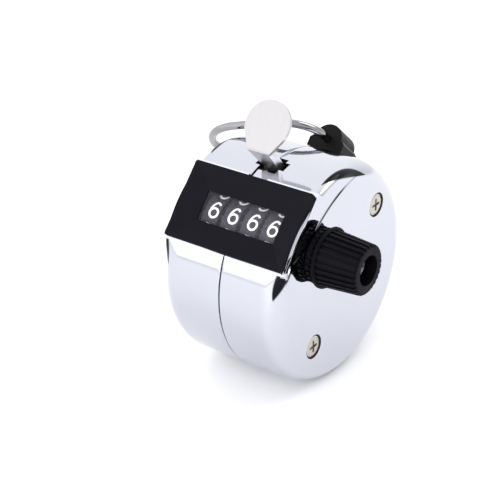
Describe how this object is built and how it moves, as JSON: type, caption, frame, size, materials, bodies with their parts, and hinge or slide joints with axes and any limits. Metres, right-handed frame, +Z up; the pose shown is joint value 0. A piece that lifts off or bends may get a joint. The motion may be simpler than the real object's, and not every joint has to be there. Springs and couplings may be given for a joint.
{
  "type": "hand tally counter",
  "caption": "Hand-held mechanical tally counter: round chromed case, number wheels behind a black window, thumb lever, reset knob and swivelling finger ring.",
  "frame": {"origin": "centre of the case's flat left end face, on the drum's axis", "axes": "+X along the drum towards the reset knob, +Y to the back, +Z up"},
  "size_m": [0.0474, 0.0471, 0.0558],
  "materials": {
    "case_chrome": "bright chromium plate on steel",
    "bezel_plastic": "black moulded plastic, fine satin grain",
    "lens": "clear acrylic pane",
    "frame_steel": "blanked zinc-plated steel",
    "brass": "turned brass",
    "shaft_steel": "ground steel",
    "screw_nickel": "nickel plate, slightly warm",
    "spring_steel": "spring steel",
    "knob_plastic": "black moulded plastic",
    "knob_screw_black": "blackened steel",
    "wheel_plastic": "dark grey moulded plastic",
    "pinion_plastic": "natural acetal",
    "lever_steel": "nickel-plated steel, brushed along its length",
    "holder_plastic": "black moulded plastic",
    "ring_chrome": "chrome-plated wire"
  },
  "bodies": {
    "case": {"left_shell": "case_chrome", "right_shell": "case_chrome", "window_bezel": "bezel_plastic", "window_lens": "lens", "case_screws_left": "screw_nickel", "case_screws_right": "screw_nickel", "frame_plate_left": "frame_steel", "frame_plate_right": "frame_steel", "frame_pillars": "brass", "pinion_shaft": "shaft_steel", "lever_pivot_pin": "shaft_steel", "shaft_bush": "brass", "detent_spring": "spring_steel", "detent_post": "shaft_steel", "lever_return_spring": "spring_steel", "ring_holder": "holder_plastic"},
    "lever": {"thumb_lever": "lever_steel", "rocker_sleeve": "shaft_steel", "drive_arm": "frame_steel", "pawl_pin": "shaft_steel", "pawl_spring": "spring_steel"},
    "pawl": {"drive_pawl": "frame_steel"},
    "reset": {"reset_shaft": "shaft_steel", "reset_knob": "knob_plastic", "knob_screw": "knob_screw_black", "shaft_clip": "spring_steel"},
    "units": {"units_wheel": "wheel_plastic", "reset_pawl_units": "spring_steel", "ratchet_wheel": "brass"},
    "tens": {"tens_wheel": "wheel_plastic", "reset_pawl_tens": "spring_steel"},
    "hundreds": {"hundreds_wheel": "wheel_plastic", "reset_pawl_hundreds": "spring_steel"},
    "thousands": {"thousands_wheel": "wheel_plastic", "reset_pawl_thousands": "spring_steel"},
    "pinion_tens": {"transfer_pinion_tens": "pinion_plastic"},
    "pinion_hundreds": {"transfer_pinion_hundreds": "pinion_plastic"},
    "pinion_thousands": {"transfer_pinion_thousands": "pinion_plastic"},
    "ring": {"finger_ring": "ring_chrome"}
  },
  "joints": [
    {"name": "thumb_lever_press", "type": "hinge", "parent": "case", "child": "lever", "pos_m": [0.0145, -0.0055, 0.017], "axis": [-1, 0, 0], "range_deg": [0, 16], "stiffness_Nm_per_rad": 0.15, "springref_deg": -17.19},
    {"name": "drive_pawl_lift", "type": "hinge", "parent": "lever", "child": "pawl", "pos_m": [0.023, -0.0046, 0.0002], "axis": [1, 0, 0], "range_deg": [0, 4], "stiffness_Nm_per_rad": 0.004, "springref_deg": -17.19},
    {"name": "reset_knob_turn", "type": "hinge", "parent": "case", "child": "reset", "pos_m": [0.033, -0.00922, 0.00859], "axis": [1, 0, 0], "continuous": true},
    {"name": "thousands_wheel_turn", "type": "hinge", "parent": "case", "child": "thousands", "pos_m": [0.00732, -0.00922, 0.00859], "axis": [1, 0, 0], "continuous": true},
    {"name": "hundreds_wheel_turn", "type": "hinge", "parent": "case", "child": "hundreds", "pos_m": [0.01178, -0.00922, 0.00859], "axis": [1, 0, 0], "continuous": true},
    {"name": "tens_wheel_turn", "type": "hinge", "parent": "case", "child": "tens", "pos_m": [0.01622, -0.00922, 0.00859], "axis": [1, 0, 0], "continuous": true},
    {"name": "units_wheel_turn", "type": "hinge", "parent": "case", "child": "units", "pos_m": [0.02067, -0.00922, 0.00859], "axis": [1, 0, 0], "continuous": true},
    {"name": "thousands_pinion_turn", "type": "hinge", "parent": "case", "child": "pinion_thousands", "pos_m": [0.00955, -0.01477, 0.00263], "axis": [1, 0, 0], "continuous": true},
    {"name": "hundreds_pinion_turn", "type": "hinge", "parent": "case", "child": "pinion_hundreds", "pos_m": [0.014, -0.01477, 0.00263], "axis": [1, 0, 0], "continuous": true},
    {"name": "tens_pinion_turn", "type": "hinge", "parent": "case", "child": "pinion_tens", "pos_m": [0.01845, -0.01477, 0.00263], "axis": [1, 0, 0], "continuous": true},
    {"name": "finger_ring_swivel", "type": "hinge", "parent": "case", "child": "ring", "pos_m": [0.0145, 0.01609, 0.01781], "axis": [0, 0.742, -0.6704], "range_deg": [0, 222]}
  ],
  "couplings": [
    {"joint": "tens_wheel_turn", "follows": "units_wheel_turn", "ratio": 0.1},
    {"joint": "hundreds_wheel_turn", "follows": "units_wheel_turn", "ratio": 0.01},
    {"joint": "thousands_wheel_turn", "follows": "units_wheel_turn", "ratio": 0.001},
    {"joint": "tens_pinion_turn", "follows": "units_wheel_turn", "ratio": -0.25},
    {"joint": "hundreds_pinion_turn", "follows": "units_wheel_turn", "ratio": -0.025},
    {"joint": "thousands_pinion_turn", "follows": "units_wheel_turn", "ratio": -0.0025}
  ]
}
